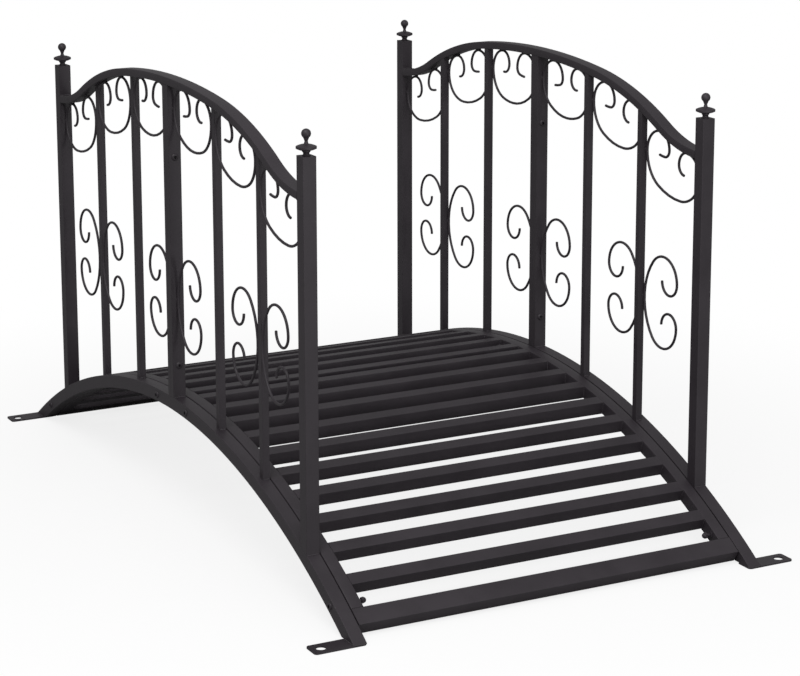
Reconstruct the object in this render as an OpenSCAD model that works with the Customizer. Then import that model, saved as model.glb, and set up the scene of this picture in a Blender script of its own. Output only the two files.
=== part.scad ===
// Moon bridge: a small arched garden bridge of bent and welded steel tube.
// X runs along the walk, Y across it, Z up. The origin lies on the floor under the middle of the deck.

/* [Bridge] */
// Length of the arch along the floor, over its outer curve
span = 1542; // [1400:1:1700]
// Height of the deck at the crest
deck_h = 233; // [190:1:260]
// Distance between the middle planes of the two railings
gauge = 789; // [600:1:1000]
// Side of the square tube of arches, posts and deck
tube = 25; // [20:1:28]
// Outer corner radius of the square tube
tube_r = 1; // [0.5:0.1:4]

/* [Feet] */
// Width of a foot tab, along the bridge
tab_w = 38; // [34:1:50]
// Distance that a foot tab stands out from its arch
tab_out = 70; // [50:1:90]
// Distance that a foot tab stands out in front of its arch
tab_lip = 0.5; // [0.5:0.5:6]
// Thickness of a foot tab
tab_t = 3; // [2.5:0.5:6]
// Diameter of the anchor hole in a foot tab
tab_hole_d = 18; // [8:0.5:20]
// Corner radius of a foot tab
tab_r = 6; // [3:0.5:10]

/* [Deck] */
// Number of slats on each half of the deck, beside the end slat
slats = 10; // [7:1:11]
// Distance from the middle of the bridge to the middle of the first slat
first_slat_x = 23.5; // [18:0.5:40]
// Width of the end slat
end_slat_w = 35; // [25:1:40]
// Clearance between the deck's lowest corner and the floor
deck_clear = 2.5; // [2:0.5:10]

/* [Railing] */
// Distance from the middle of the bridge to the middle of an end post
post_x = 577; // [540:1:620]
// Height of the end posts
post_h = 787; // [760:1:820]
// Rise of the top rail at the crest over the end posts
rail_rise = 54.5; // [30:0.5:80]
// Thickness of the top rail
rail_h = 14.5; // [10:0.5:18]
// Radius of the top rail over the crest
crown_r = 1810; // [1500:10:2200]
// Half length of the crown
crown_x = 212; // [170:1:240]
// Radius of the shoulder that follows the crown
shoulder_r = 700; // [620:5:800]
// Distance from the middle to the end of the shoulder
shoulder_x = 448; // [425:1:462]
// Side of a baluster
bal_w = 13.5; // [10:0.5:16]

/* [Scrolls] */
// Diameter of the rod
rod_d = 5; // [4:0.5:7]
// Outer curl radius on the uphill side of a hanging scroll
up_curl_r = 41; // [36:0.5:44]
// Inner curl radius on the uphill side of a hanging scroll
up_in_r = 32; // [28:0.5:34]
// Radius of the uphill hook of a hanging scroll
up_hook_r = 14; // [12:0.5:18]
// Turn of the uphill hook under a level rail, in degrees
up_hook_turn = 73; // [60:1:85]
// Length of the slightly bent tail that ends the uphill hook
up_tail = 18; // [10:1:24]
// Bend radius of that tail
tail_r = 80; // [50:5:150]
// Roundness of a hanging scroll's loop on its uphill side
up_round = 0.87; // [0.75:0.01:0.95]
// Outer curl radius on the downhill side of a hanging scroll
down_curl_r = 40.5; // [34:0.5:44]
// Inner curl radius on the downhill side of a hanging scroll
down_in_r = 24.5; // [22:0.5:30]
// Radius of the downhill hook of a hanging scroll
down_hook_r = 18.5; // [14:0.5:22]
// Turn of the downhill hook under a level rail, in degrees
down_hook_turn = 104; // [90:1:120]
// Roundness of a hanging scroll's loop on its downhill side
down_round = 0.95; // [0.75:0.01:0.97]
// Drop of a hanging scroll's loop below the middle of its sides
loop_drop = 64; // [56:0.5:72]
// Height of the middle of the C-scrolls
c_z = 420; // [380:1:470]
// Reach of a C-scroll from its back
c_reach = 107; // [100:1:115]
// Lobe radius of a C-scroll
c_lobe_r = 45.5; // [40:0.5:48]
// Height of a lobe's centre over the middle of the C-scroll
c_rise = 42; // [36:0.5:50]
// Radius of the hooked ends of a C-scroll
c_hook_r = 24.5; // [18:0.5:27]

/* [Finials] */
// Diameter of the collar
collar_d = 14; // [12:0.5:18]
// Diameter of the collar's waist
waist_d = 10.5; // [7:0.5:11.5]
// Diameter of the disc
disc_d = 35; // [28:0.5:38]
// Thickness of the disc at its middle
disc_t = 12; // [10:0.5:13.5]
// Thickness of the disc at its rim
rim_t = 3.5; // [2.5:0.5:6]
// Height of the disc's middle over the post
disc_z = 14; // [12.5:0.5:15]
// Diameter of the neck
neck_d = 5.5; // [4:0.5:8]
// Height of the thinnest point of the neck over the post
neck_z = 24.5; // [23:0.5:26]
// Diameter of the ball
ball_d = 16.5; // [12:0.5:20]
// Height of the ball's middle over the post
ball_z = 37; // [35:0.5:40]

/* [Hidden] */
$fn = 48;

// Satin black powder coat
coat = "#38363a";
// Spare length of a cutting block, so that no two faces fall together
spare = 1;
// Hairline left between two bends of a rod, too fine to see
hairline = 0.02;

// Arch: one circle through the crest and the two ends on the floor
arch_r = (pow(span / 2, 2) + pow(deck_h, 2)) / (2 * deck_h);
arch_z = deck_h - arch_r;
arch_in_r = arch_r - tube;
arch_mid_r = arch_r - tube / 2;
// Angles are measured at the arch's centre, from the crest
foot_angle = acos((tab_t - arch_z) / arch_r);
foot_x = arch_r * sin(foot_angle);
tab_x = foot_x + tab_lip - tab_w / 2;

// Railings and deck across the bridge
rail_y = gauge / 2;
arch_in_y = rail_y - tube / 2;
arch_out_y = rail_y + tube / 2;
slat_y = arch_in_y - tube;
tab_out_y = arch_out_y + tab_out;

// Deck: the end slat's lower corner stays clear of the floor
deck_end = acos((deck_clear - arch_z) / arch_in_r);
end_slat_angle = deck_end - atan(end_slat_w / 2 / arch_in_r);
slat_pitch = (arch_r * sin(end_slat_angle) - first_slat_x) / slats;

// Railing bays: three equal gaps between the mid post, two balusters and the end post
mid_face_x = tube / 2;
post_face_x = post_x - tube / 2;
bay = (post_face_x - mid_face_x - 2 * bal_w) / 3;
bal_x = [for (i = [1, 2]) mid_face_x + i * bay + (i - 0.5) * bal_w];
bal_y = arch_in_y + bal_w / 2;

// Top rail: crown, shoulder and a reverse bend that ends level at the middle of the end post
rail_top = post_h + rail_rise;
crown_a = asin(crown_x / crown_r);
crown_z = rail_top - crown_r;
shoulder_cx = (crown_r - shoulder_r) * sin(crown_a);
shoulder_cz = crown_z + (crown_r - shoulder_r) * cos(crown_a);
shoulder_a = asin((shoulder_x - shoulder_cx) / shoulder_r);
sweep_r = (post_x - shoulder_cx) / sin(shoulder_a) - shoulder_r;
sweep_cz = shoulder_cz + (shoulder_r + sweep_r) * cos(shoulder_a);

// Height of the line that runs a given distance below the top rail's underside
function below_rail(x, gap) =
  let (r1 = crown_r - rail_h - gap, r2 = shoulder_r - rail_h - gap, r3 = sweep_r + rail_h + gap)
  x <= r1 * sin(crown_a) ? crown_z + sqrt(r1 * r1 - x * x) :
  x <= shoulder_cx + r2 * sin(shoulder_a) ? shoulder_cz + sqrt(r2 * r2 - pow(x - shoulder_cx, 2)) :
  sweep_cz - sqrt(r3 * r3 - pow(post_x - x, 2));

// Two tangent arcs that turn from straight down to level over a width w and a height h, the tighter one
// with k times the lesser of the two: radius of the side, radius of the bottom, turn of the side
function quarter(w, h, k) = w >= h
  ? let (a = k * h, b = (w * w + h * h - 2 * w * a) / (2 * (h - a))) [a, b, atan2(b - h, w - a)]
  : let (b = k * w, a = (w * w + h * h - 2 * h * b) / (2 * (w - b))) [a, b, atan2(h - b, a - w)];

// Rod path: a list of [radius, left turn], followed from [x, z, heading]
function after(s, arc) = let (h = s[2] + arc[1])
  [s.x + arc[0] * (sin(h) - sin(s[2])), s.y + arc[0] * (cos(s[2]) - cos(h)), h];
function along(start, path) =
  [for (i = 0, s = start; i < len(path); s = after(s, path[i]), i = i + 1) s];

// Places a piece of the right front quarter in any quarter of the bridge
module placed(side, end) {
  mirror([end == "back" ? 1 : 0, 0, 0]) mirror([0, side == "left" ? 1 : 0, 0]) children();
}

// Cross-section of a tube with round corners, centred
module section(w, h, r) {
  square([w - 2 * r, h], center = true);
  square([w, h - 2 * r], center = true);
  for (x = [-1, 1], y = [-1, 1]) translate([x * (w / 2 - r), y * (h / 2 - r)]) circle(r);
}

// Cross-section of a square tube to be bent, with each corner in three flats, centred
module bent_section() {
  polygon([for (q = [0 : 3], k = [0 : 3]) let (a = 90 * q + 30 * k)
    (tube / 2 - tube_r) * [abs(q - 1.5) > 1 ? 1 : -1, q < 2 ? 1 : -1] + tube_r * [cos(a), sin(a)]]);
}

// Tube bent about a level axis at [x, z], from angle a to angle b, measured from straight up towards +X
module bent(x, z, r, a, b) {
  translate([x, 0, z]) rotate([90, 0, 0]) rotate([0, 0, 90 - b])
    rotate_extrude(angle = b - a, $fn = 360) translate([r, 0]) children();
}

// Everything under the arch's outer curve, for cutting the feet of posts
module under_arch() {
  translate([0, rail_y, arch_z]) rotate([90, 0, 0])
    cylinder(r = arch_r, h = tube + 2 * spare, center = true, $fn = 720);
}

// Upright tube from the arch to a given height
module upright(w, d, x, y, top) {
  difference() {
    translate([x, y, 0]) linear_extrude(top) section(w, d, tube_r * min(w, d) / tube);
    under_arch();
  }
}

// Flat ring sector about [x, z], between two radii and two angles, measured from straight up towards +X
module ring(x, z, r_in, r_out, a, b) {
  reach = 2 * r_out;
  translate([x, z]) intersection() {
    difference() {
      circle(r_out, $fn = 720);
      circle(r_in, $fn = 720);
    }
    polygon([[0, 0], reach * [sin(a), cos(a)], reach * [sin(b), cos(b)]]);
  }
}

// Top rail from the crest to the middle of the end post: crown, shoulder and reverse bend
module rail_bar() {
  translate([0, rail_y, 0]) rotate([90, 0, 0]) linear_extrude(tube, center = true) {
    ring(0, crown_z, crown_r - rail_h, crown_r, 0, crown_a);
    ring(shoulder_cx, shoulder_cz, shoulder_r - rail_h, shoulder_r, crown_a, shoulder_a);
    ring(post_x, sweep_cz, sweep_r, sweep_r + rail_h, 180, 180 + shoulder_a);
  }
}

// Round rod along a path in the middle plane of the railing, one true ring sector per bend
module rod(start, path) {
  stops = along(start, path);
  for (i = [0 : len(path) - 1]) {
    r = path[i][0];
    trim = hairline / r * 180 / PI;
    translate([stops[i].x - r * sin(stops[i][2]), rail_y, stops[i].y + r * cos(stops[i][2])])
      rotate([90, 0, 0]) rotate([0, 0, stops[i][2] - 90])
        rotate_extrude(angle = path[i][1] - trim, $fn = 96) translate([r, 0]) circle(d = rod_d);
  }
}

// Hanging scroll between two upright faces: a loop with a curl, a smaller curl and a hook at either end,
// leaning with the rail above it
module lyre(face_a, face_b) {
  xa = face_a + rod_d / 2;
  xb = face_b - rod_d / 2;
  za = below_rail(xa + up_curl_r, up_curl_r + rod_d / 2);
  zb = below_rail(xb - down_curl_r, down_curl_r + rod_d / 2);
  lean = atan2(za - zb, xb - down_curl_r - xa - up_curl_r);
  low_x = (xa + xb) / 2 + za - zb;
  low_z = (za + zb) / 2 - loop_drop - 0.05 * (za - zb);
  qa = quarter(low_x - xa, za - low_z, up_round);
  qb = quarter(xb - low_x, zb - low_z, down_round);
  tail = [tail_r, up_tail / tail_r * 180 / PI];
  hook = [up_hook_r, up_hook_turn + lean];
  curl_end = [xa + up_curl_r + up_in_r, za + up_curl_r - up_in_r, 90];
  rod(after(after(curl_end, [hook[0], -hook[1]]), [tail[0], -tail[1]]), [
    tail, hook, [up_in_r, 90], [up_curl_r, 90], [qa[0], qa[2]], [qa[1], 90 - qa[2]],
    [qb[1], 90 - qb[2]], [qb[0], qb[2]], [down_curl_r, 90], [down_in_r, 90],
    [down_hook_r, down_hook_turn - lean]
  ]);
}

// C-scroll with its back against an upright face, opening towards +X
module c_scroll(face) {
  lobe_x = c_reach - c_lobe_r;
  back_r = (lobe_x * lobe_x + c_rise * c_rise - c_lobe_r * c_lobe_r) / (2 * (lobe_x - c_lobe_r));
  back_a = atan2(c_rise, back_r - lobe_x);
  rod([face + rod_d / 2 + c_reach - 2 * c_hook_r, c_z + c_rise, 270], [
    [c_hook_r, 180], [c_lobe_r, 180 - back_a], [back_r, 2 * back_a], [c_lobe_r, 180 - back_a], [c_hook_r, 180]
  ]);
}

module base_arch() color(coat) difference() {
  translate([0, rail_y, 0]) bent(0, arch_z, arch_mid_r, 0, foot_angle + 1) bent_section();
  translate([0, 0, tab_t - 2 * tube]) cube([span, gauge, 2 * tube]);
}

module foot_tab() color(coat) difference() {
  translate([tab_x, (arch_in_y + tab_out_y) / 2, 0]) linear_extrude(tab_t)
    section(tab_w, tab_out_y - arch_in_y, tab_r);
  translate([tab_x, tab_out_y - tab_w / 2, -spare]) cylinder(d = tab_hole_d, h = tab_t + 2 * spare);
}

module end_post() color(coat) upright(tube, tube, post_x, rail_y, post_h);

// Turned finial: waisted collar, domed disc, thin neck and a ball that tapers into it
module finial() color(coat) translate([post_x, rail_y, post_h]) {
  collar_h = disc_z - disc_t / 2;
  groove_r = 0.38 * collar_h;
  dome = (disc_t - rim_t) / 2;
  dome_r = (disc_d * disc_d / 4 + dome * dome) / (2 * dome);
  rotate_extrude() difference() {
    square([collar_d / 2, disc_z]);
    translate([waist_d / 2 + groove_r, collar_h / 2]) circle(groove_r);
  }
  rotate_extrude() intersection() {
    translate([0, disc_z + dome_r - disc_t / 2]) circle(dome_r, $fn = 96);
    translate([0, disc_z - dome_r + disc_t / 2]) circle(dome_r, $fn = 96);
    translate([0, disc_z]) circle(d = disc_d, $fn = 96);
    translate([0, disc_z - disc_t]) square([disc_d, 2 * disc_t]);
  }
  rotate_extrude() polygon([
    [0, disc_z], [neck_d, disc_z], [neck_d / 2, neck_z],
    [0.31 * ball_d, ball_z - 0.38 * ball_d], [0, ball_z - 0.38 * ball_d]
  ]);
  translate([0, 0, ball_z]) sphere(d = ball_d);
}

// Half of the mid post, split on the middle of the bridge
module mid_post() color(coat) difference() {
  upright(tube / 2, tube, tube / 4, rail_y, below_rail(tube / 4, -rail_h / 2));
  rail_bar();
}

module top_rail() color(coat) difference() {
  rail_bar();
  translate([post_face_x, 0, 0]) cube([2 * tube, gauge, 2 * rail_top]);
}

module balusters() color(coat) difference() {
  for (x = bal_x) upright(bal_w, bal_w, x, bal_y, below_rail(x, -rail_h / 2));
  rail_bar();
}

module lyre_scrolls() color(coat) {
  lyre(mid_face_x, bal_x[0] - bal_w / 2);
  lyre(bal_x[0] + bal_w / 2, bal_x[1] - bal_w / 2);
  lyre(bal_x[1] + bal_w / 2, post_face_x);
}

module c_scrolls() color(coat) {
  c_scroll(mid_face_x);
  c_scroll(bal_x[1] + bal_w / 2);
  translate([2 * bal_x[1], 0, 0]) mirror([1, 0, 0]) c_scroll(bal_x[1] + bal_w / 2);
}

// Frame of a slat: origin at the middle of its top face, X along the walk, Z outwards from the arch
module on_arch(angle) {
  translate([0, 0, arch_z]) rotate([0, angle, 0]) translate([0, 0, arch_r]) children();
}

// Straight slat of a given width and half length
module slat(angle, w, half) {
  on_arch(angle) translate([0, 0, -tube / 2]) rotate([90, 0, 0])
    linear_extrude(2 * half, center = true) section(w, tube, tube_r);
}

module deck_rail() color(coat) difference() {
  translate([0, arch_in_y - tube / 2, 0]) bent(0, arch_z, arch_mid_r, 0, deck_end) bent_section();
  on_arch(end_slat_angle) translate([-end_slat_w / 2, 0, -2 * tube]) cube([4 * tube, gauge, 4 * tube]);
}

module deck_slats() color(coat)
  for (i = [1 : slats]) slat(asin((first_slat_x + (i - 1) * slat_pitch) / arch_r), tube, slat_y);

module deck_end_slat() color(coat) slat(end_slat_angle, end_slat_w, arch_in_y);

module base_arch_left_front() placed("left", "front") base_arch();
module base_arch_left_back() placed("left", "back") base_arch();
module base_arch_right_front() placed("right", "front") base_arch();
module base_arch_right_back() placed("right", "back") base_arch();
module foot_tab_left_front() placed("left", "front") foot_tab();
module foot_tab_left_back() placed("left", "back") foot_tab();
module foot_tab_right_front() placed("right", "front") foot_tab();
module foot_tab_right_back() placed("right", "back") foot_tab();
module end_post_left_front() placed("left", "front") end_post();
module end_post_left_back() placed("left", "back") end_post();
module end_post_right_front() placed("right", "front") end_post();
module end_post_right_back() placed("right", "back") end_post();
module finial_left_front() placed("left", "front") finial();
module finial_left_back() placed("left", "back") finial();
module finial_right_front() placed("right", "front") finial();
module finial_right_back() placed("right", "back") finial();
module mid_post_left_front() placed("left", "front") mid_post();
module mid_post_left_back() placed("left", "back") mid_post();
module mid_post_right_front() placed("right", "front") mid_post();
module mid_post_right_back() placed("right", "back") mid_post();
module top_rail_left_front() placed("left", "front") top_rail();
module top_rail_left_back() placed("left", "back") top_rail();
module top_rail_right_front() placed("right", "front") top_rail();
module top_rail_right_back() placed("right", "back") top_rail();
module balusters_left_front() placed("left", "front") balusters();
module balusters_left_back() placed("left", "back") balusters();
module balusters_right_front() placed("right", "front") balusters();
module balusters_right_back() placed("right", "back") balusters();
module lyre_scrolls_left_front() placed("left", "front") lyre_scrolls();
module lyre_scrolls_left_back() placed("left", "back") lyre_scrolls();
module lyre_scrolls_right_front() placed("right", "front") lyre_scrolls();
module lyre_scrolls_right_back() placed("right", "back") lyre_scrolls();
module c_scrolls_left_front() placed("left", "front") c_scrolls();
module c_scrolls_left_back() placed("left", "back") c_scrolls();
module c_scrolls_right_front() placed("right", "front") c_scrolls();
module c_scrolls_right_back() placed("right", "back") c_scrolls();
module deck_rail_left_front() placed("left", "front") deck_rail();
module deck_rail_left_back() placed("left", "back") deck_rail();
module deck_rail_right_front() placed("right", "front") deck_rail();
module deck_rail_right_back() placed("right", "back") deck_rail();
module deck_slats_front() placed("right", "front") deck_slats();
module deck_slats_back() placed("right", "back") deck_slats();
module deck_end_slat_front() placed("right", "front") deck_end_slat();
module deck_end_slat_back() placed("right", "back") deck_end_slat();

base_arch_left_front();
base_arch_left_back();
base_arch_right_front();
base_arch_right_back();
foot_tab_left_front();
foot_tab_left_back();
foot_tab_right_front();
foot_tab_right_back();
end_post_left_front();
end_post_left_back();
end_post_right_front();
end_post_right_back();
finial_left_front();
finial_left_back();
finial_right_front();
finial_right_back();
mid_post_left_front();
mid_post_left_back();
mid_post_right_front();
mid_post_right_back();
top_rail_left_front();
top_rail_left_back();
top_rail_right_front();
top_rail_right_back();
balusters_left_front();
balusters_left_back();
balusters_right_front();
balusters_right_back();
lyre_scrolls_left_front();
lyre_scrolls_left_back();
lyre_scrolls_right_front();
lyre_scrolls_right_back();
c_scrolls_left_front();
c_scrolls_left_back();
c_scrolls_right_front();
c_scrolls_right_back();
deck_rail_left_front();
deck_rail_left_back();
deck_rail_right_front();
deck_rail_right_back();
deck_slats_front();
deck_slats_back();
deck_end_slat_front();
deck_end_slat_back();
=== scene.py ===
# %% [markdown]
# A moon bridge in black powder coat.
# A moon bridge is a small arched garden bridge. This one is bent and welded from square steel tube, with a
# slatted deck, two crowned railings, scrolls of bent wire and a turned finial on each end post. The packed
# model gives every tube its place. This lesson dresses it: tubes that need rounder corners are bent again
# with the spin operator, the wires are drawn as one piece each, bolts and weld beads are added, and one
# satin coat covers all of it.

# %% Load the frame
from math import acos, asin, atan2, ceil, cos, degrees, radians, sin, sqrt

import bmesh
import bpy
from mathutils import Matrix, Vector


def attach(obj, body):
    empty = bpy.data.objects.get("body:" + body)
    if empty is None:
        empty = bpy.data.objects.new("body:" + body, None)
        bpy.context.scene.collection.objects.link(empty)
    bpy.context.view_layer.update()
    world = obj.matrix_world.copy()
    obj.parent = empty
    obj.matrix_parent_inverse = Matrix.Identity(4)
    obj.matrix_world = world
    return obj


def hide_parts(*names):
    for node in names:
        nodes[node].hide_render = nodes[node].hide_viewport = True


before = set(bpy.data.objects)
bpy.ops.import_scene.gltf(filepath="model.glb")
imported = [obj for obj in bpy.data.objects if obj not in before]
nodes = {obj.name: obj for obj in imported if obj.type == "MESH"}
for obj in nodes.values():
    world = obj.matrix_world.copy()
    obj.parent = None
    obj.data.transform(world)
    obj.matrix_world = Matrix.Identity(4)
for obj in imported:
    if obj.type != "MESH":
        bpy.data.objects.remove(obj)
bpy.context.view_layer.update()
MM = 0.001

# %% [markdown]
# The sizes that the new pieces share.
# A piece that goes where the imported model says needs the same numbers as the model. They could be measured
# on its meshes, but a written size says what it is for. They stand here once, in millimetres, the unit in
# which the bridge was drawn. X runs along the walk, Y across it and Z up.

# %% Sizes of the bridge
SPAN, DECK_H, TUBE, TUBE_R = 1542, 233, 25, 1
RAIL_Y, POST_X = 394.5, 577
TAB_T = 3
ARCH_R = ((SPAN / 2) ** 2 + DECK_H ** 2) / (2 * DECK_H)
ARCH_Z = DECK_H - ARCH_R
INNER_Y, OUTER_Y = RAIL_Y - TUBE / 2, RAIL_Y + TUBE / 2
SLAT_Y = INNER_Y - TUBE
MID_FACE, POST_FACE = TUBE / 2, POST_X - TUBE / 2
BAL_W = 13.5
BAY = (POST_FACE - MID_FACE - 2 * BAL_W) / 3
BAL_X = [MID_FACE + i * BAY + (i - 0.5) * BAL_W for i in (1, 2)]
BAYS = [(MID_FACE, BAL_X[0] - BAL_W / 2), (BAL_X[0] + BAL_W / 2, BAL_X[1] - BAL_W / 2),
        (BAL_X[1] + BAL_W / 2, POST_FACE)]
QUARTERS = [(side, end) for side in ("left", "right") for end in ("front", "back")]


def arch_height(x):
    """Height of the arch's outer curve at x."""
    return ARCH_Z + sqrt(ARCH_R ** 2 - x * x)


print(f"arch radius {ARCH_R:.1f} mm, bays of {BAY:.1f} mm, balusters at {BAL_X[0]:.1f} and {BAL_X[1]:.1f} mm")

# %% [markdown]
# The camera.
# The camera comes first, because every later choice is judged through it. It could be set by eye, but then
# a wrong lens is easily mistaken for a wrong size. So its place and lens were fitted to the edges of the end
# posts and the lines of the slats in the picture: a long lens, about as high as a standing person's eyes,
# that looks down along the walk. The two shifts put the bridge where it stands in the picture and leave the
# uprights as they lean.

# %% Camera
CAM_AZIMUTH, CAM_PITCH = radians(61.939), radians(11.989)
camera = bpy.data.objects.new("camera", bpy.data.cameras.new("camera"))
camera.data.lens, camera.data.sensor_width = 111.31, 36
camera.data.shift_x, camera.data.shift_y = -0.02305, -0.14542
back = Vector((sin(CAM_AZIMUTH) * cos(CAM_PITCH), -cos(CAM_AZIMUTH) * cos(CAM_PITCH), sin(CAM_PITCH)))
camera.location = (4.1831, -2.1085, 1.5234)
camera.rotation_euler = back.to_track_quat("Z", "Y").to_euler()
bpy.context.scene.collection.objects.link(camera)
bpy.context.scene.camera = camera
bpy.context.scene.view_settings.view_transform = "Standard"
print("camera at", tuple(round(v, 3) for v in camera.location))

# %% [markdown]
# The finish: satin black powder coat.
# Powder coat is plastic dust that is sprayed on the steel and baked until it flows together. It never flows
# quite flat, so the coat has a fine skin like orange peel, and its gloss drifts a little from place to
# place. A picture of a coat could be wrapped round every tube, but each tube would need its own unwrapping.
# Two noise textures on Object coordinates draw skin and drift instead, and run on from tube to tube. Colours
# are written as sRGB hex and turned to linear light by one function. One small function adds a node, sets it
# and links it, so that a material reads as a list.


# %% Colour and node helpers
def paint(hex_code):
    """sRGB hex to a linear colour with alpha."""
    parts = [int(hex_code[i:i + 2], 16) / 255 for i in (1, 3, 5)]
    return (*[p / 12.92 if p <= 0.04045 else ((p + 0.055) / 1.055) ** 2.4 for p in parts], 1.0)


def add(tree, kind, links=None, inputs=None, **settings):
    """Adds one node: settings on the node, inputs on its sockets, links from other nodes' sockets."""
    made = tree.nodes.new(kind)
    for name, value in settings.items():
        setattr(made, name, value)
    for name, value in (inputs or {}).items():
        made.inputs[name].default_value = value
    for name, source in (links or {}).items():
        tree.links.new(source, made.inputs[name])
    return made


def new_material(name):
    """An empty node material."""
    made = bpy.data.materials.new(name)
    made.use_nodes = True
    made.node_tree.nodes.clear()
    return made


# %% Powder coat
# Polyester powder coat, baked: a dark neutral grey with a soft wide sheen, an uneven skin and drifting gloss.
COAT_DARK, COAT_LIGHT = paint("#2b262b"), paint("#322d32")
PEEL_SIZE = 3.5 * MM     # the real skin is about 1.5 mm wide, drawn coarser so that it shows
DRIFT_SIZE = 90 * MM     # patches that took a little more or less powder
coat = new_material("satin_black_powder_coat")
t = coat.node_tree
place = add(t, "ShaderNodeTexCoord").outputs["Object"]
drift = add(t, "ShaderNodeTexNoise", {"Vector": place},
            {"Scale": 1 / DRIFT_SIZE, "Detail": 3.0, "Roughness": 0.55})
peel = add(t, "ShaderNodeTexNoise", {"Vector": place},
           {"Scale": 1 / PEEL_SIZE, "Detail": 2.0, "Roughness": 0.5})
tone = add(t, "ShaderNodeValToRGB", {"Fac": drift.outputs["Fac"]})
tone.color_ramp.elements[0].position, tone.color_ramp.elements[0].color = 0.35, COAT_DARK
tone.color_ramp.elements[1].position, tone.color_ramp.elements[1].color = 0.65, COAT_LIGHT
gloss = add(t, "ShaderNodeMapRange", {"Value": drift.outputs["Fac"]},
            {"From Min": 0.3, "From Max": 0.7, "To Min": 0.48, "To Max": 0.56})
skin = add(t, "ShaderNodeBump", {"Height": peel.outputs["Fac"]}, {"Strength": 0.12, "Distance": 0.4 * MM})
shade = add(t, "ShaderNodeBsdfPrincipled",
            {"Base Color": tone.outputs["Color"], "Roughness": gloss.outputs["Result"],
             "Normal": skin.outputs["Normal"]},
            {"IOR": 1.5, "Specular IOR Level": 0.4, "Metallic": 0.0})
add(t, "ShaderNodeOutputMaterial", {"Surface": shade.outputs["BSDF"]})
for node in nodes.values():
    node.data.materials.clear()
    node.data.materials.append(coat)
print("coated", len(nodes), "nodes")


# %% [markdown]
# Putting a piece into the scene.
# The four quarters of the bridge mirror each other. A Mirror modifier could draw all four at once, but they
# would then be one piece, and each packed rail or scroll needs a piece of its own to stand for it. So a piece
# is drawn in millimetres for the right front quarter, and mirrored into the quarter where it belongs. A
# mirrored mesh is inside out, so its faces are turned outwards again. Flat faces stay crisp and round ones
# are shaded smooth, by the angle between their faces.


# %% Piece helper
SHARP = 35     # degrees between two faces, from which their edge stays crisp


def quarter_matrix(side, end):
    """From millimetres in the right front quarter to metres in the given quarter."""
    return Matrix.Diagonal(((1 if end == "front" else -1) * MM, (1 if side == "right" else -1) * MM, MM, 1))


def make_piece(name, bm, matrix, sharp=SHARP):
    """Turns a bmesh into a piece that rides on the bridge and wears the coat."""
    bmesh.ops.transform(bm, matrix=matrix, verts=bm.verts)
    bmesh.ops.recalc_face_normals(bm, faces=bm.faces)
    mesh = bpy.data.meshes.new(name)
    bm.to_mesh(mesh)
    bm.free()
    mesh.shade_smooth()
    mesh.set_sharp_from_angle(angle=radians(sharp))
    mesh.materials.append(coat)
    piece = bpy.data.objects.new(name, mesh)
    bpy.context.scene.collection.objects.link(piece)
    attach(piece, "root")
    return piece


# %% [markdown]
# Bending a tube with spin.
# A bent tube is one cross-section carried round an arc, which is just what the spin operator does. A Bezier
# curve with a section along it would also do, but such a curve only comes near an arc, and spin follows it
# from a centre and an angle, as a bender does. The section is a flat face with its corners rounded by a
# vertex bevel. Spin extrudes the face step by step about a level axis, and its last ring is where the next
# bend starts, so a rail with three bends is three spins in a row.


# %% Bending helpers
def tube_section(bm, width, height, corner, centre, outer=None):
    """A rounded rectangle that faces along X. Its corners on the +Y side may have a radius of their own."""
    made = bmesh.ops.create_grid(bm, x_segments=1, y_segments=1, size=0.5)
    bmesh.ops.scale(bm, vec=(height, width, 1), verts=made["verts"])
    bmesh.ops.rotate(bm, cent=(0, 0, 0), matrix=Matrix.Rotation(radians(90), 3, "Y"), verts=made["verts"])
    bmesh.ops.translate(bm, vec=centre, verts=made["verts"])
    for far, radius in ((False, corner), (True, outer or corner)):
        corners = [v for v in bm.verts if (v.co.y > centre[1]) == far]
        bmesh.ops.bevel(bm, geom=corners, offset=radius, offset_type="OFFSET", affect="VERTICES",
                        segments=4, profile=0.5, material=-1)
    return bm.faces[:] + bm.edges[:] + bm.verts[:]


def bend(bm, geom, x, z, turn, step):
    """Carries a section round the level axis at x, z. A turn above zero leads from up towards +X."""
    steps = max(1, ceil(abs(turn) / step))
    made = bmesh.ops.spin(bm, geom=geom, cent=(x, 0, z), axis=(0, 1, 0), angle=radians(turn), steps=steps)
    return made["geom_last"]


# %% [markdown]
# The top rails.
# Each half of a top rail is a flat tube with three bends: a long crown, a tighter shoulder and a reverse
# bend that levels out at the end post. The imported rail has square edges. A bevel could round them, but its
# mesh is made of loose triangles, so the rail is bent again from a rounded section. The centres of two bends
# that meet lie on one line through the point where they meet, and that is what makes the rail run smoothly
# from one into the next.

# %% Top rails
RAIL_TOP, RAIL_H = 841.5, 14.5
CROWN_R, CROWN_X, SHOULDER_R, SHOULDER_X = 1810, 212, 700, 448
CROWN_TURN = degrees(asin(CROWN_X / CROWN_R))
CROWN_Z = RAIL_TOP - CROWN_R
SHOULDER_CX = (CROWN_R - SHOULDER_R) * sin(radians(CROWN_TURN))
SHOULDER_CZ = CROWN_Z + (CROWN_R - SHOULDER_R) * cos(radians(CROWN_TURN))
SHOULDER_TURN = degrees(asin((SHOULDER_X - SHOULDER_CX) / SHOULDER_R))
SWEEP_R = (POST_X - SHOULDER_CX) / sin(radians(SHOULDER_TURN)) - SHOULDER_R
SWEEP_CZ = SHOULDER_CZ + (SHOULDER_R + SWEEP_R) * cos(radians(SHOULDER_TURN))
RAIL_END = degrees(asin((POST_X - POST_FACE) / SWEEP_R))    # the rail stops at the face of the end post
CROWN_STEP, SHOULDER_STEP, SWEEP_STEP = 0.8, 1.5, 2    # degrees per step, finer where the radius is longer


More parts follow.
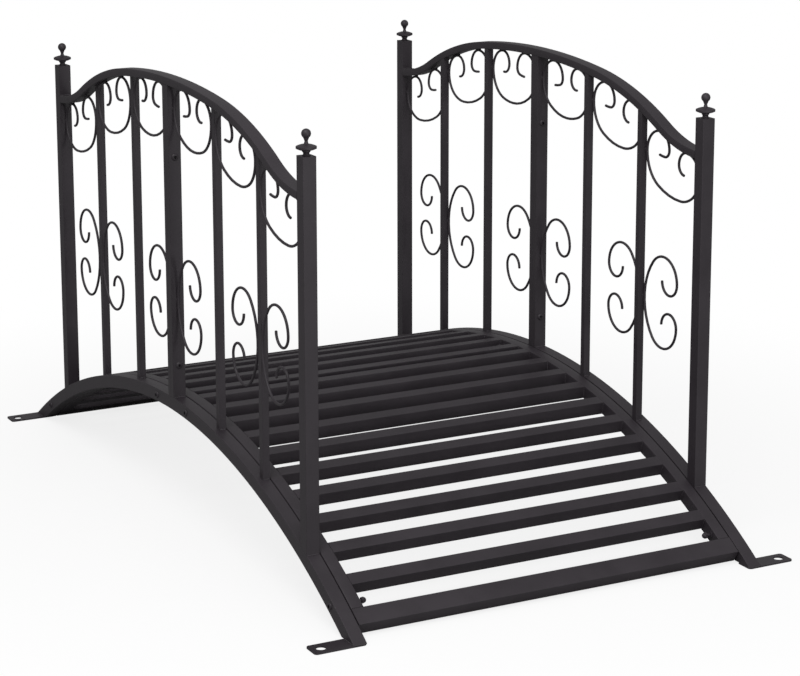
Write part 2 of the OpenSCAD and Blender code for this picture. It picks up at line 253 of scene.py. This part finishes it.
def below_rail(x, gap):
    """Height of the line that runs a given distance below the rail's underside."""
    r1, r2, r3 = CROWN_R - RAIL_H - gap, SHOULDER_R - RAIL_H - gap, SWEEP_R + RAIL_H + gap
    if x <= r1 * sin(radians(CROWN_TURN)):
        return CROWN_Z + sqrt(r1 * r1 - x * x)
    if x <= SHOULDER_CX + r2 * sin(radians(SHOULDER_TURN)):
        return SHOULDER_CZ + sqrt(r2 * r2 - (x - SHOULDER_CX) ** 2)
    return SWEEP_CZ - sqrt(r3 * r3 - (POST_X - x) ** 2)


for side, end in QUARTERS:
    bm = bmesh.new()
    ring = tube_section(bm, TUBE, RAIL_H, TUBE_R, (0, RAIL_Y, RAIL_TOP - RAIL_H / 2))
    ring = bend(bm, ring, 0, CROWN_Z, CROWN_TURN, CROWN_STEP)
    ring = bend(bm, ring, SHOULDER_CX, SHOULDER_CZ, SHOULDER_TURN - CROWN_TURN, SHOULDER_STEP)
    bend(bm, ring, POST_X, SWEEP_CZ, RAIL_END - SHOULDER_TURN, SWEEP_STEP)
    rail = make_piece(f"rail_tube_{side}_{end}", bm, quarter_matrix(side, end))
    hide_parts(f"top_rail_{side}_{end}")
print(f"rails bent: crown {CROWN_TURN:.1f}, shoulder {SHOULDER_TURN - CROWN_TURN:.1f}, "
      f"sweep {SHOULDER_TURN - RAIL_END:.1f} degrees, {len(rail.data.polygons)} faces each")

# %% [markdown]
# The edge of the deck.
# The deck is a frame of its own, made a little narrower than the space between the arches and bolted in. A
# dark seam runs along each arch where the two meet. A black line in the material could stand for it, but a
# real gap darkens by itself from every side. So the deck rails are bent again with room for that seam and
# with rounder corners on its side. They stop where the wide end slat begins, a straight tube that is
# shortened by the same seam.

# %% Deck rails
SLATS, FIRST_SLAT_X, END_SLAT_W, DECK_CLEAR = 10, 23.5, 35, 2.5
SEAM, SEAM_R = 1.8, 2
DECK_STEP = 0.8
ARCH_MID_R = ARCH_R - TUBE / 2
DECK_END = acos((DECK_CLEAR - ARCH_Z) / (ARCH_R - TUBE))
END_SLAT_ANGLE = DECK_END - atan2(END_SLAT_W / 2, ARCH_R - TUBE)
DECK_RAIL_END = degrees(END_SLAT_ANGLE - asin(END_SLAT_W / 2 / ARCH_MID_R))
for side, end in QUARTERS:
    bm = bmesh.new()
    centre = (0, SLAT_Y + (TUBE - SEAM) / 2, DECK_H - TUBE / 2)
    ring = tube_section(bm, TUBE - SEAM, TUBE, TUBE_R, centre, SEAM_R)
    bend(bm, ring, 0, ARCH_Z, DECK_RAIL_END, DECK_STEP)
    rail = make_piece(f"deck_tube_{side}_{end}", bm, quarter_matrix(side, end))
    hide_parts(f"deck_rail_{side}_{end}")
print(f"deck rails bent over {DECK_RAIL_END:.1f} degrees, with a seam of {SEAM} mm")

# %% End slats
for end in ("front", "back"):
    bm = bmesh.new()
    bmesh.ops.create_cube(bm, size=1, matrix=Matrix.Diagonal((END_SLAT_W, 2 * (INNER_Y - SEAM), TUBE, 1)))
    long_edges = [e for e in bm.edges if abs(e.verts[0].co.y - e.verts[1].co.y) > TUBE]
    bmesh.ops.bevel(bm, geom=long_edges, offset=TUBE_R, offset_type="OFFSET", affect="EDGES", segments=4,
                    profile=0.5, material=-1)
    turn = Matrix.Rotation(END_SLAT_ANGLE, 4, "Y") @ Matrix.Translation((0, 0, ARCH_MID_R))
    slat = make_piece(f"end_slat_tube_{end}", bm,
                      quarter_matrix("right", end) @ Matrix.Translation((0, 0, ARCH_Z)) @ turn)
    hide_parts(f"deck_end_slat_{end}")
print(f"end slats turned by {degrees(END_SLAT_ANGLE):.1f} degrees")

# %% [markdown]
# The wire scrolls.
# The scrolls are cold bent from steel rod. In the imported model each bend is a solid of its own, and the
# joints between them could show, so each rod is drawn here as one unbroken wire. A bender's work is a list
# of bends: a radius and an angle, one after the other. The same list drives the spin operator. A disc starts
# at one tip of the rod, and each entry carries it round a centre that lies square to the left of the way it
# is heading. The tips get a small bevel, as sheared rod has under its coat.


# %% Rod helper
ROD_R = 2.5
ROD_SIDES, ROD_STEP, TIP_BEVEL = 14, 8, 0.7
ROD_SHARP = 50     # degrees, wide enough that the bevel of a tip is shaded smooth


def after(at, bend_r, turn):
    """Place and heading after one bend to the left."""
    x, z, heading = at
    new = heading + turn
    return (x + bend_r * (sin(radians(new)) - sin(radians(heading))),
            z + bend_r * (cos(radians(heading)) - cos(radians(new))), new)


def draw_rod(bm, at, bends):
    """Bends one rod in the middle plane of the railing, from a tip at x, z and a heading."""
    x, z, heading = at
    disc = bmesh.ops.create_circle(bm, cap_ends=True, segments=ROD_SIDES, radius=ROD_R)
    verts = disc["verts"]
    bmesh.ops.rotate(bm, cent=(0, 0, 0), matrix=Matrix.Rotation(radians(90 - heading), 3, "Y"), verts=verts)
    bmesh.ops.translate(bm, vec=(x, RAIL_Y, z), verts=verts)
    tip = list({f for v in verts for f in v.link_faces})
    ring = tip + list({e for f in tip for e in f.edges}) + verts
    first = set(verts)
    for bend_r, turn in bends:
        x, z, heading = at
        centre = (x - bend_r * sin(radians(heading)), z + bend_r * cos(radians(heading)))
        ring = bend(bm, ring, *centre, -turn, ROD_STEP)
        at = after(at, bend_r, turn)
    last = {v for v in ring if isinstance(v, bmesh.types.BMVert)}
    rims = [e for e in bm.edges if set(e.verts) <= first or set(e.verts) <= last]
    bmesh.ops.bevel(bm, geom=rims, offset=TIP_BEVEL, offset_type="OFFSET", affect="EDGES",
                    segments=2, profile=0.5, material=-1)


# %% [markdown]
# The hanging scrolls.
# Under the rail, each bay holds one rod bent like a lyre: a loop below, and at each end a curl that tightens
# into a smaller curl and a hook. The rail falls away towards the posts, so each bay's two curls hang at
# different heights, and loop and hooks lean downhill with the rail. Half an ellipse could draw the loop, but
# it has no radius that a spin can follow. Two arcs that share a tangent take the rod from straight down to
# level on each side of the loop.

# %% Hanging scrolls
UP_CURL_R, UP_IN_R, UP_HOOK_R, UP_HOOK_TURN, UP_TAIL, TAIL_R = 41, 32, 14, 73, 18, 80
DOWN_CURL_R, DOWN_IN_R, DOWN_HOOK_R, DOWN_HOOK_TURN = 40.5, 24.5, 18.5, 104
LOOP_DROP, UP_ROUND, DOWN_ROUND = 64, 0.87, 0.95
LOOP_SINK = 0.05     # share of a bay's fall by which its loop hangs lower


def quarter_loop(w, h, k):
    """Radius of the side, radius of the bottom and turn of the side, over a width and a height."""
    if w >= h:
        a = k * h
        b = (w * w + h * h - 2 * w * a) / (2 * (h - a))
        return a, b, degrees(atan2(b - h, w - a))
    b = k * w
    a = (w * w + h * h - 2 * h * b) / (2 * (w - b))
    return a, b, degrees(atan2(h - b, a - w))


def curl_places(face_a, face_b):
    """Where the two curls of a bay leave its uprights: xa, za, xb, zb."""
    xa, xb = face_a + ROD_R, face_b - ROD_R
    return (xa, below_rail(xa + UP_CURL_R, UP_CURL_R + ROD_R),
            xb, below_rail(xb - DOWN_CURL_R, DOWN_CURL_R + ROD_R))


for side, end in QUARTERS:
    bm = bmesh.new()
    for face_a, face_b in BAYS:
        xa, za, xb, zb = curl_places(face_a, face_b)
        fall = za - zb
        lean = degrees(atan2(fall, xb - DOWN_CURL_R - xa - UP_CURL_R))
        low_x, low_z = (xa + xb) / 2 + fall, (za + zb) / 2 - LOOP_DROP - LOOP_SINK * fall
        side_a, low_a, turn_a = quarter_loop(low_x - xa, za - low_z, UP_ROUND)
        side_b, low_b, turn_b = quarter_loop(xb - low_x, zb - low_z, DOWN_ROUND)
        tail, hook = degrees(UP_TAIL / TAIL_R), UP_HOOK_TURN + lean
        curl_end = (xa + UP_CURL_R + UP_IN_R, za + UP_CURL_R - UP_IN_R, 90)
        tip = after(after(curl_end, UP_HOOK_R, -hook), TAIL_R, -tail)
        draw_rod(bm, tip, [(TAIL_R, tail), (UP_HOOK_R, hook), (UP_IN_R, 90), (UP_CURL_R, 90),
                           (side_a, turn_a), (low_a, 90 - turn_a), (low_b, 90 - turn_b), (side_b, turn_b),
                           (DOWN_CURL_R, 90), (DOWN_IN_R, 90), (DOWN_HOOK_R, DOWN_HOOK_TURN - lean)])
    lyre = make_piece(f"lyre_rods_{side}_{end}", bm, quarter_matrix(side, end), sharp=ROD_SHARP)
    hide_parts(f"lyre_scrolls_{side}_{end}")
print("hanging scrolls:", len(lyre.data.polygons), "faces in a quarter")

# %% [markdown]
# The C-scrolls.
# Lower down, C-shaped scrolls stand back to back on an upright: two lobes joined by a long back, each lobe
# ended by a tight hook. The back's radius follows from the reach and the rise of the lobes. All of them are
# alike, so one list of five bends serves for each. It could be written again for the scrolls that face the
# other way, but it is simpler to bend the same scroll, flip it and move it to its upright.

# %% C-scrolls
C_Z, C_REACH, C_LOBE_R, C_RISE, C_HOOK_R = 420, 107, 45.5, 42, 24.5
LOBE_X = C_REACH - C_LOBE_R
BACK_R = (LOBE_X ** 2 + C_RISE ** 2 - C_LOBE_R ** 2) / (2 * (LOBE_X - C_LOBE_R))
BACK_TURN = degrees(atan2(C_RISE, BACK_R - LOBE_X))
C_BENDS = [(C_HOOK_R, 180), (C_LOBE_R, 180 - BACK_TURN), (BACK_R, 2 * BACK_TURN), (C_LOBE_R, 180 - BACK_TURN),
           (C_HOOK_R, 180)]
for side, end in QUARTERS:
    bm = bmesh.new()
    for face, flip in ((MID_FACE, 1), (BAL_X[1] + BAL_W / 2, 1), (BAL_X[1] - BAL_W / 2, -1)):
        one = bmesh.new()
        draw_rod(one, (ROD_R + C_REACH - 2 * C_HOOK_R, C_Z + C_RISE, 270), C_BENDS)
        bmesh.ops.transform(one, matrix=Matrix.Translation((face, 0, 0)) @ Matrix.Diagonal((flip, 1, 1, 1)),
                            verts=one.verts)
        spare = bpy.data.meshes.new("one_scroll")
        one.to_mesh(spare)
        one.free()
        bm.from_mesh(spare)
        bpy.data.meshes.remove(spare)
    scroll = make_piece(f"c_rods_{side}_{end}", bm, quarter_matrix(side, end), sharp=ROD_SHARP)
    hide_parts(f"c_scrolls_{side}_{end}")
print(f"C-scrolls: back radius {BACK_R:.0f} mm,", len(scroll.data.polygons), "faces in a quarter")

# %% [markdown]
# The bolts.
# The bridge comes apart for its box: bolts hold the two halves of each mid post together, and hold the deck
# to the arches. Each has a button head, a low dome with a socket for a hexagon key, and ends in a cap nut, a
# hexagon with a dome on it, so that no thread can catch a sleeve. The deck's bolts are longer than they need
# to be, and their nuts stand off the rail. One outline spun round an axis would give a bolt without its
# hexagons, so it is put together instead: balls cut in half for the domes, discs and hexagons from the cone
# operator, and a socket that is bridged to the head and sunk. A bolt is drawn along Z, with the underside of
# its head at zero, and turned into place.


# %% Bolt helpers
TINY = 1e-4     # millimetres within which two heights are the same
DOME_SIDES, DOME_RINGS = 24, 12


def disc_part(bm, sides, radius, low, high, edge):
    """A disc or hexagon between two heights, with its rims rounded."""
    made = bmesh.ops.create_cone(bm, cap_ends=True, segments=sides, radius1=radius, radius2=radius,
                                 depth=high - low)
    bmesh.ops.translate(bm, vec=(0, 0, (low + high) / 2), verts=made["verts"])
    rims = list({e for v in made["verts"] for e in v.link_edges
                 if abs(e.verts[0].co.z - e.verts[1].co.z) < TINY})
    bmesh.ops.bevel(bm, geom=rims, offset=edge, offset_type="OFFSET", affect="EDGES", segments=2,
                    profile=0.5, material=-1)


def dome(bm, radius, base, height):
    """Half a flattened ball on a level base, with its underside closed. A height below zero points down."""
    made = bmesh.ops.create_uvsphere(bm, u_segments=DOME_SIDES, v_segments=DOME_RINGS, radius=radius)
    faces = list({f for v in made["verts"] for f in v.link_faces})
    edges = list({e for v in made["verts"] for e in v.link_edges})
    cut = bmesh.ops.bisect_plane(bm, geom=made["verts"] + edges + faces, dist=TINY, plane_co=(0, 0, 0),
                                 plane_no=(0, 0, 1), clear_inner=True)
    rim = [e for e in cut["geom_cut"] if isinstance(e, bmesh.types.BMEdge)]
    bmesh.ops.contextual_create(bm, geom=rim)
    kept = [g for g in cut["geom"] if isinstance(g, bmesh.types.BMFace) and g.is_valid]
    verts = list({v for face in kept for v in face.verts})
    bmesh.ops.scale(bm, vec=(1, 1, height / radius), verts=verts)
    bmesh.ops.translate(bm, vec=(0, 0, base), verts=verts)


HEAD_R, HEAD_H, HEAD_FLAT, SOCKET_R, SOCKET_DEPTH = 6.8, 3.6, 2.7, 3.3, 2.4
SHANK_R, NUT_R, NUT_H, CAP_R, CAP_H, WASHER_R, WASHER_T = 3, 6.1, 4.5, 4.9, 4.6, 7, 1
WASHER_SIDES, SHANK_SIDES = 28, 16
WASHER_EDGE, SHANK_EDGE, NUT_EDGE = 0.3, 0.2, 0.6


def button_head(bm):
    """A dome cut flat on top, with a hexagonal socket sunk into the flat."""
    dome(bm, HEAD_R, 0, HEAD_H)
    cut = bmesh.ops.bisect_plane(bm, geom=bm.verts[:] + bm.edges[:] + bm.faces[:], dist=TINY,
                                 plane_co=(0, 0, HEAD_FLAT), plane_no=(0, 0, 1), clear_outer=True)
    rim = [e for e in cut["geom_cut"] if isinstance(e, bmesh.types.BMEdge)]
    key = bmesh.ops.create_circle(bm, cap_ends=False, segments=6, radius=SOCKET_R,
                                  matrix=Matrix.Translation((0, 0, HEAD_FLAT)))
    mouth = list({e for v in key["verts"] for e in v.link_edges})
    bmesh.ops.bridge_loops(bm, edges=rim + mouth)
    sunk = bmesh.ops.extrude_edge_only(bm, edges=mouth)["geom"]
    verts = [g for g in sunk if isinstance(g, bmesh.types.BMVert)]
    bmesh.ops.translate(bm, vec=(0, 0, -SOCKET_DEPTH), verts=verts)
    bmesh.ops.contextual_create(bm, geom=[e for e in bm.edges if set(e.verts) <= set(verts)])


def draw_bolt(grip, reach):
    """A bolt along Z with its head above zero, and its cap nut at a reach below the washer of its grip."""
    bm = bmesh.new()
    button_head(bm)
    face, nut = -grip - WASHER_T, -grip - WASHER_T - reach
    disc_part(bm, WASHER_SIDES, WASHER_R, face, -grip, WASHER_EDGE)
    if reach:
        disc_part(bm, SHANK_SIDES, SHANK_R, nut, face, SHANK_EDGE)
    disc_part(bm, 6, NUT_R, nut - NUT_H, nut, NUT_EDGE)
    dome(bm, CAP_R, nut - NUT_H, -CAP_H)
    return bm


def place_bolt(name, at, towards, grip, reach=0):
    """Puts a bolt with the underside of its head at a point, and its head pointing one way."""
    turn = Vector(towards).to_track_quat("Z", "Y").to_matrix().to_4x4()
    return make_piece(name, draw_bolt(grip, reach), Matrix.Scale(MM, 4) @ Matrix.Translation(at) @ turn)


# %% Bolts of the mid posts and of the deck
POST_BOLTS = {"upper": 692.5, "lower": 295}     # heights over the floor
DECK_BOLTS = {"crest": 70, "foot": 678}     # distances from the middle of the bridge
DECK_REACH = 7
for side, y_sign in (("left", -1), ("right", 1)):
    for level, z in POST_BOLTS.items():
        place_bolt(f"post_bolt_{side}_{level}", (MID_FACE, y_sign * RAIL_Y, z), (1, 0, 0), 2 * MID_FACE)
    for end, x_sign in (("front", 1), ("back", -1)):
        for spot, x in DECK_BOLTS.items():
            z = ARCH_Z + sqrt(ARCH_MID_R ** 2 - x * x)
            place_bolt(f"deck_bolt_{side}_{end}_{spot}", (x_sign * x, y_sign * OUTER_Y, z), (0, y_sign, 0),
                       OUTER_Y - SLAT_Y, DECK_REACH)
print("bolts:", 2 * len(POST_BOLTS) + 4 * len(DECK_BOLTS))

# %% [markdown]
# The weld beads.
# A welder leaves a row of overlapping drops along each joint, and the coat covers them. A bump in the coat
# could hint at them, but it can't fill the corner between two tubes. So each drop is a small ball that sits
# in that corner, stretched along the joint. A few dozen faces are enough for one, because there are hundreds
# of them.

# %% Bead helpers
DROP_PITCH, DROP_LONG, DROP_WIDE = 3.2, 2.3, 1.7
DROP_SIDES, DROP_RINGS = 8, 5


def drop(bm, at, along, long=DROP_LONG, wide=DROP_WIDE):
    """One drop of weld at a point, stretched along a direction."""
    turn = Vector(along).to_track_quat("X", "Z").to_matrix().to_4x4()
    bmesh.ops.create_uvsphere(bm, u_segments=DROP_SIDES, v_segments=DROP_RINGS, radius=1,
                              matrix=Matrix.Translation(at) @ turn @ Matrix.Diagonal((long, wide, wide, 1)))


def bead(bm, start, end):
    """A row of drops from one point to another."""
    start, end = Vector(start), Vector(end)
    count = max(2, round((end - start).length / DROP_PITCH))
    for i in range(count):
        drop(bm, start.lerp(end, (i + 0.5) / count), end - start)


# %% Beads of the railings
def upright_beads(bm, x, half, y0, y1, ends):
    """Beads across an upright, where it meets the arch and the rail, on its faces at the given ends."""
    for s in ends:
        xs = x + s * half
        bead(bm, (xs, y0, arch_height(xs)), (xs, y1, arch_height(xs)))
        if x < POST_FACE:
            bead(bm, (xs, y0, below_rail(xs, 0)), (xs, y1, below_rail(xs, 0)))


BEAD_INSET = 2     # a bead stops short of a tube's corners
BAL_HALF_BEAD = 5
ROD_INNER, ROD_OUTER = -1.9, 1.9     # the two sides of a rod, where its tacks lie
TACK_WIDE, LYRE_TACK, C_TACK = 1.5, 4, 5
UP, LEVEL = (0, 0, 1), (1, 0, 0)
INNER_END, OUTER_END = INNER_Y + BEAD_INSET, OUTER_Y - BEAD_INSET
BAL_END = INNER_Y + BAL_W - BEAD_INSET
for side, end in QUARTERS:
    bm = bmesh.new()
    upright_beads(bm, POST_X, TUBE / 2, INNER_END, OUTER_END, (-1, 1))
    upright_beads(bm, MID_FACE / 2, MID_FACE / 2, INNER_END, OUTER_END, (1,))
    for x in BAL_X:
        upright_beads(bm, x, BAL_W / 2, INNER_END, BAL_END, (-1, 1))
        for height in (arch_height, lambda v: below_rail(v, 0)):
            low_x, high_x = x - BAL_HALF_BEAD, x + BAL_HALF_BEAD
            bead(bm, (low_x, RAIL_Y, height(low_x)), (high_x, RAIL_Y, height(high_x)))
    rail_top_end = SWEEP_CZ - sqrt(SWEEP_R ** 2 - (POST_X - POST_FACE) ** 2)
    for z in (rail_top_end, below_rail(POST_FACE, 0)):
        bead(bm, (POST_FACE, INNER_END, z), (POST_FACE, OUTER_END, z))
    for face_a, face_b in BAYS:
        xa, za, xb, zb = curl_places(face_a, face_b)
        # A baluster ends just past the middle of a rod, so a rod's outer side has its tack on posts alone
        for x, z in ((face_a, za), (face_b, zb)):
            for y in (ROD_INNER, ROD_OUTER) if x in (MID_FACE, POST_FACE) else (ROD_INNER,):
                drop(bm, (x, RAIL_Y + y, z), UP, LYRE_TACK, TACK_WIDE)
        for x, z in ((xa + UP_CURL_R, za + UP_CURL_R + ROD_R), (xb - DOWN_CURL_R, zb + DOWN_CURL_R + ROD_R)):
            for y in (ROD_INNER, ROD_OUTER):
                drop(bm, (x, RAIL_Y + y, z), LEVEL, LYRE_TACK, TACK_WIDE)
    for x in (MID_FACE, BAL_X[1] - BAL_W / 2, BAL_X[1] + BAL_W / 2):
        for y in (ROD_INNER, ROD_OUTER) if x == MID_FACE else (ROD_INNER,):
            drop(bm, (x, RAIL_Y + y, C_Z), UP, C_TACK, TACK_WIDE)
    beads = make_piece(f"rail_welds_{side}_{end}", bm, quarter_matrix(side, end))
print("rail welds:", len(beads.data.polygons), "faces in a quarter")

# %% [markdown]
# The slats butt against the deck rails, and are welded down both sides of each joint. The foot tabs are
# welded under the arches, along the outer side and across the front.

# %% Beads of the deck and the feet
TAB_W, TAB_INSET, SLAT_INSET = 38, 4, 3
SLAT_PITCH = (ARCH_R * sin(END_SLAT_ANGLE) - FIRST_SLAT_X) / SLATS
FOOT_X = ARCH_R * sin(acos((TAB_T - ARCH_Z) / ARCH_R))
for side, end in QUARTERS:
    bm = bmesh.new()
    for i in range(SLATS):
        angle = asin((FIRST_SLAT_X + i * SLAT_PITCH) / ARCH_R)
        out, along = Vector((sin(angle), 0, cos(angle))), Vector((cos(angle), 0, -sin(angle)))
        for s in (-1, 1):
            base = Vector((0, SLAT_Y, ARCH_Z)) + along * s * TUBE / 2
            bead(bm, base + out * (ARCH_R - TUBE + SLAT_INSET), base + out * (ARCH_R - SLAT_INSET))
    bead(bm, (FOOT_X - TAB_W + TAB_INSET, OUTER_Y, TAB_T), (FOOT_X - BEAD_INSET, OUTER_Y, TAB_T))
    bead(bm, (FOOT_X, INNER_END, TAB_T), (FOOT_X, OUTER_END, TAB_T))
    beads = make_piece(f"deck_welds_{side}_{end}", bm, quarter_matrix(side, end))
print("deck welds:", len(beads.data.polygons), "faces in a quarter")

# %% [markdown]
# Floor and light.
# The bridge stands on a pale studio floor that fades into a white surround, so that the dark lines read
# against white and only a soft shadow stays under the deck. What the camera sees of floor and surround is
# lifted towards white, while the coat sees a plain grey floor and a dim surround, as in a studio with dark
# walls. One broad lamp above lights the tops of the tubes, and a smaller one, low and ahead of the bridge,
# lights the fronts of slats and posts.

# %% Floor
FLOOR_HALF, FADE_FROM, FADE_TO = 14, 0.6, 1.7     # metres from the middle of the bridge
LIFT = 0.8     # share of plain white in what the camera sees of the floor under the bridge
FLOOR_TONE = "#a8a8a8"     # what the coat sees of the floor
floor_paint = new_material("pale_studio_floor")
t = floor_paint.node_tree
place = add(t, "ShaderNodeTexCoord").outputs["Object"]
away = add(t, "ShaderNodeVectorMath", {0: place}, operation="LENGTH")
fade = add(t, "ShaderNodeMapRange", {"Value": away.outputs["Value"]},
           {"From Min": FADE_FROM, "From Max": FADE_TO, "To Min": LIFT, "To Max": 1.0},
           interpolation_type="SMOOTHSTEP")
eye = add(t, "ShaderNodeLightPath")
matte = add(t, "ShaderNodeBsdfDiffuse", inputs={"Color": paint("#ffffff")})
white = add(t, "ShaderNodeEmission", inputs={"Color": (1, 1, 1, 1), "Strength": 1.0})
seen = add(t, "ShaderNodeMixShader",
           {0: fade.outputs["Result"], 1: matte.outputs["BSDF"], 2: white.outputs["Emission"]})
plain = add(t, "ShaderNodeBsdfDiffuse", inputs={"Color": paint(FLOOR_TONE)})
both = add(t, "ShaderNodeMixShader",
           {0: eye.outputs["Is Camera Ray"], 1: plain.outputs["BSDF"], 2: seen.outputs["Shader"]})
add(t, "ShaderNodeOutputMaterial", {"Surface": both.outputs["Shader"]})
bm = bmesh.new()
bmesh.ops.create_grid(bm, x_segments=2, y_segments=2, size=FLOOR_HALF)
floor_mesh = bpy.data.meshes.new("floor")
bm.to_mesh(floor_mesh)
bm.free()
floor_mesh.materials.append(floor_paint)
floor = bpy.data.objects.new("floor", floor_mesh)
bpy.context.scene.collection.objects.link(floor)
print("floor", 2 * FLOOR_HALF, "m wide")

# %% Surround and lamps
FILL = 0.40
world = bpy.data.worlds.new("white_surround")
bpy.context.scene.world = world
world.use_nodes = True
world.node_tree.nodes.clear()
t = world.node_tree
eye = add(t, "ShaderNodeLightPath")
fill = add(t, "ShaderNodeBackground", inputs={"Color": (1, 1, 1, 1), "Strength": FILL})
seen = add(t, "ShaderNodeBackground", inputs={"Color": (1, 1, 1, 1), "Strength": 1.0})
mix = add(t, "ShaderNodeMixShader",
          {0: eye.outputs["Is Camera Ray"], 1: fill.outputs["Background"], 2: seen.outputs["Background"]})
add(t, "ShaderNodeOutputWorld", {"Surface": mix.outputs["Shader"]})


def soft_lamp(name, at, aim, size, watts):
    """A square area lamp that points at a spot."""
    lamp = bpy.data.lights.new(name, "AREA")
    lamp.size, lamp.energy = size, watts
    made = bpy.data.objects.new(name, lamp)
    made.location = at
    made.rotation_euler = (Vector(at) - Vector(aim)).to_track_quat("Z", "Y").to_euler()
    bpy.context.scene.collection.objects.link(made)


soft_lamp("overhead", at=(2.0, -1.7, 3.8), aim=(0, 0, 0.3), size=3.0, watts=112)
soft_lamp("ahead", at=(5.5, 0.3, 0.8), aim=(0, 0, 0.25), size=1.5, watts=62)
